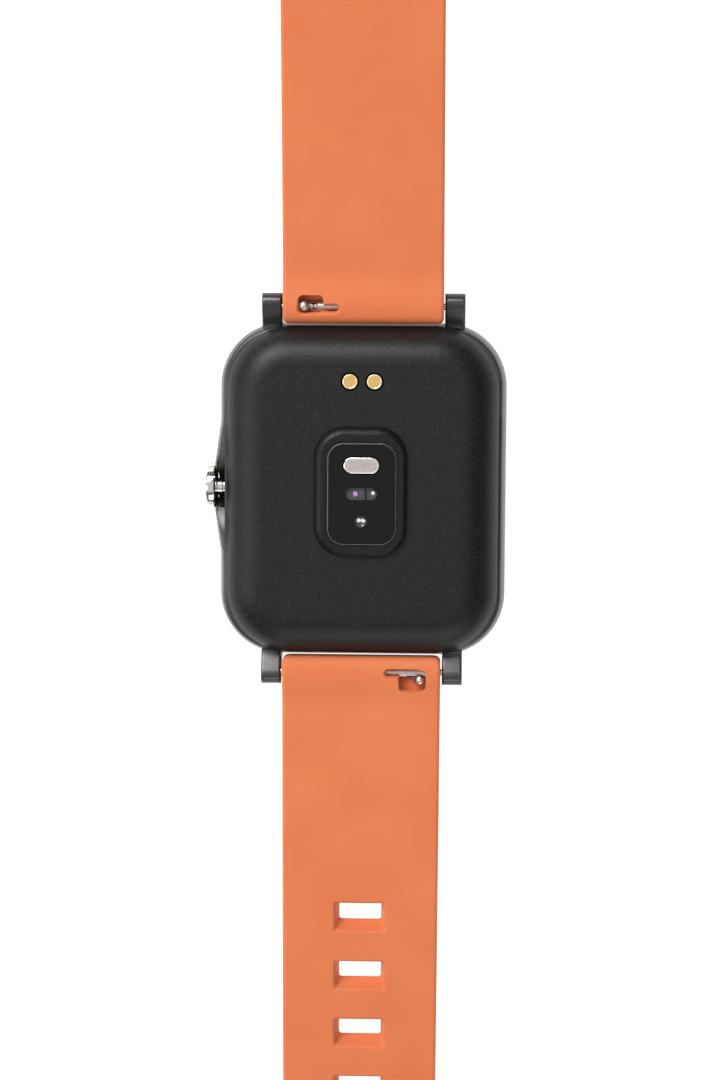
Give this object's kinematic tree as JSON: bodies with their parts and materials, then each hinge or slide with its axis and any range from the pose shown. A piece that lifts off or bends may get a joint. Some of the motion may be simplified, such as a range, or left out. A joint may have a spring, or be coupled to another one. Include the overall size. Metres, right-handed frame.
{
  "type": "gps running watch",
  "caption": "Square sports watch lying face down, with a crown, sensor back and a two-part quick-release rubber strap with buckle.",
  "frame": {"origin": "centre of the front glass face, on which the watch lies", "axes": "+Z from the front glass to the wrist side, +Y along the buckle half of the strap (12 o'clock), crown on the -X side"},
  "size_m": [0.0373, 0.2529, 0.0293],
  "materials": {
    "band_aluminium": "gunmetal anodised, fine bead-blasted satin",
    "front_glass": "clear toughened glass over a black display",
    "black_seal": "matte black seal and adhesive",
    "display_stack": "dark display panel",
    "flex_ribbon": "amber polyimide ribbon",
    "chassis_magnesium": "die-cast magnesium, bare",
    "battery_foil": "silver laminate pouch",
    "lead_insulation": "red insulated wire",
    "circuit_board": "green solder mask",
    "steel_parts": "bright stainless steel",
    "chip_resin": "black moulded resin",
    "antenna_ceramic": "fired ceramic patch",
    "tungsten": "sintered tungsten weight",
    "cover_plastic": "black moulded polycarbonate with a fine spark texture",
    "bezel_plastic": "black satin polycarbonate",
    "window_glass": "glossy tinted glass",
    "emitter": "clear-domed emitters",
    "contact_gold": "gold-plated, polished",
    "magnet": "nickel-plated magnet",
    "crown_steel": "polished stainless steel",
    "brass_parts": "turned brass",
    "plunger_nylon": "natural nylon",
    "strap_rubber": "orange silicone rubber, matte and silky",
    "buckle_steel": "gunmetal plated, satin"
  },
  "bodies": {
    "case": {"case_frame": "band_aluminium", "front_glass": "front_glass", "glass_gasket": "black_seal", "display_panel": "display_stack", "display_flex": "flex_ribbon", "inner_chassis": "chassis_magnesium", "battery": "battery_foil", "battery_lead": "lead_insulation", "main_board": "circuit_board", "shield_can": "steel_parts", "board_chips": "chip_resin", "gps_antenna": "antenna_ceramic", "vibration_motor": "steel_parts", "chassis_screws": "steel_parts", "cover_gasket": "black_seal", "rear_cover": "cover_plastic", "sensor_bezel": "bezel_plastic", "sensor_window": "window_glass", "skin_electrode": "steel_parts", "sensor_baffle": "bezel_plastic", "sensor_board": "circuit_board", "sensor_leds": "emitter", "sensor_photodiodes": "chip_resin", "charge_contact_left": "contact_gold", "charge_contact_right": "contact_gold", "charger_magnets": "magnet", "crown_tube": "steel_parts", "crown_o_ring": "black_seal", "crown_spring": "steel_parts", "switch_bracket": "chassis_magnesium", "tact_switch": "chip_resin"},
    "motor_rotor": {"motor_rotor": "tungsten"},
    "crown_slide": {"crown_washer": "brass_parts"},
    "crown": {"crown": "crown_steel", "crown_clip": "steel_parts"},
    "switch_plunger": {"switch_plunger": "plunger_nylon"},
    "upper_strap_1": {"upper_strap_1": "strap_rubber", "upper_bar_tube": "steel_parts", "upper_bar_tip": "steel_parts", "upper_release_spring": "steel_parts"},
    "upper_release": {"upper_release_slider": "steel_parts"},
    "upper_strap_2": {"upper_strap_2": "strap_rubber"},
    "upper_strap_3": {"upper_strap_3": "strap_rubber", "fixed_keeper": "strap_rubber", "buckle_pin": "steel_parts"},
    "free_keeper": {"free_keeper": "strap_rubber"},
    "buckle_frame": {"buckle_frame": "buckle_steel"},
    "buckle_tongue": {"buckle_tongue": "buckle_steel"},
    "lower_strap_1": {"lower_strap_1": "strap_rubber", "lower_bar_tube": "steel_parts", "lower_bar_tip": "steel_parts", "lower_release_spring": "steel_parts"},
    "lower_release": {"lower_release_slider": "steel_parts"},
    "lower_strap_2": {"lower_strap_2": "strap_rubber"},
    "lower_strap_3": {"lower_strap_3": "strap_rubber"},
    "lower_strap_4": {"lower_strap_4": "strap_rubber"},
    "lower_strap_5": {"lower_strap_5": "strap_rubber"}
  },
  "joints": [
    {"name": "crown_push", "type": "slide", "parent": "case", "child": "crown_slide", "axis": [1, 0, 0], "range_m": [0, 0.0004], "stiffness_N_per_m": 400, "deforming": ["crown_spring"]},
    {"name": "crown_turn", "type": "hinge", "parent": "crown_slide", "child": "crown", "pos_m": [-0.0189, 0.0002, 0.0042], "axis": [-1, 0, 0], "continuous": true},
    {"name": "switch_press", "type": "slide", "parent": "case", "child": "switch_plunger", "axis": [1, 0, 0], "range_m": [0, 0.0004]},
    {"name": "rotor_spin", "type": "hinge", "parent": "case", "child": "motor_rotor", "pos_m": [-0.0065, 0.0096, 0.0045], "axis": [0, 0, 1], "continuous": true},
    {"name": "upper_strap_pivot", "type": "hinge", "parent": "case", "child": "upper_strap_1", "pos_m": [0, 0.0227, 0.0064], "axis": [1, 0, 0], "range_deg": [-25, 45]},
    {"name": "upper_release_slide", "type": "slide", "parent": "upper_strap_1", "child": "upper_release", "axis": [1, 0, 0], "range_m": [0, 0.0011], "stiffness_N_per_m": 200, "deforming": ["upper_release_spring"]},
    {"name": "upper_flex_1", "type": "hinge", "parent": "upper_strap_1", "child": "upper_strap_2", "pos_m": [0, 0.04384, 0.01251], "axis": [1, 0, 0], "range_deg": [0, 22], "stiffness_Nm_per_rad": 0.01},
    {"name": "upper_flex_2", "type": "hinge", "parent": "upper_strap_2", "child": "upper_strap_3", "pos_m": [0, 0.06509, 0.01811], "axis": [1, 0, 0], "range_deg": [0, 22], "stiffness_Nm_per_rad": 0.01},
    {"name": "keeper_slide", "type": "slide", "parent": "upper_strap_3", "child": "free_keeper", "axis": [0, 0.9636, 0.2672], "range_m": [-0.009, 0.004]},
    {"name": "buckle_swing", "type": "hinge", "parent": "upper_strap_3", "child": "buckle_frame", "pos_m": [0, 0.09625, 0.0255], "axis": [1, 0, 0], "range_deg": [-40, 40]},
    {"name": "tongue_swing", "type": "hinge", "parent": "buckle_frame", "child": "buckle_tongue", "pos_m": [0, 0.09625, 0.0255], "axis": [-1, 0, 0], "range_deg": [0, 100]},
    {"name": "lower_strap_pivot", "type": "hinge", "parent": "case", "child": "lower_strap_1", "pos_m": [0, -0.0227, 0.0064], "axis": [-1, 0, 0], "range_deg": [-25, 50]},
    {"name": "lower_release_slide", "type": "slide", "parent": "lower_strap_1", "child": "lower_release", "axis": [-1, 0, 0], "range_m": [0, 0.0011], "stiffness_N_per_m": 200, "deforming": ["lower_release_spring"]},
    {"name": "lower_flex_1", "type": "hinge", "parent": "lower_strap_1", "child": "lower_strap_2", "pos_m": [0, -0.05034, 0.00664], "axis": [-1, 0, 0], "range_deg": [0, 25], "stiffness_Nm_per_rad": 0.01},
    {"name": "lower_flex_2", "type": "hinge", "parent": "lower_strap_2", "child": "lower_strap_3", "pos_m": [0, -0.07312, 0.00524], "axis": [-1, 0, 0], "range_deg": [0, 25], "stiffness_Nm_per_rad": 0.01},
    {"name": "lower_flex_3", "type": "hinge", "parent": "lower_strap_3", "child": "lower_strap_4", "pos_m": [0, -0.09586, 0.00375], "axis": [-1, 0, 0], "range_deg": [0, 25], "stiffness_Nm_per_rad": 0.01},
    {"name": "lower_flex_4", "type": "hinge", "parent": "lower_strap_4", "child": "lower_strap_5", "pos_m": [0, -0.11859, 0.00286], "axis": [-1, 0, 0], "range_deg": [0, 25], "stiffness_Nm_per_rad": 0.01}
  ],
  "couplings": [
    {"joint": "switch_press", "follows": "crown_push", "ratio": 1},
    {"joint": "upper_flex_2", "follows": "upper_flex_1", "ratio": 1},
    {"joint": "lower_flex_2", "follows": "lower_flex_1", "ratio": 1},
    {"joint": "lower_flex_3", "follows": "lower_flex_1", "ratio": 1},
    {"joint": "lower_flex_4", "follows": "lower_flex_1", "ratio": 1}
  ]
}
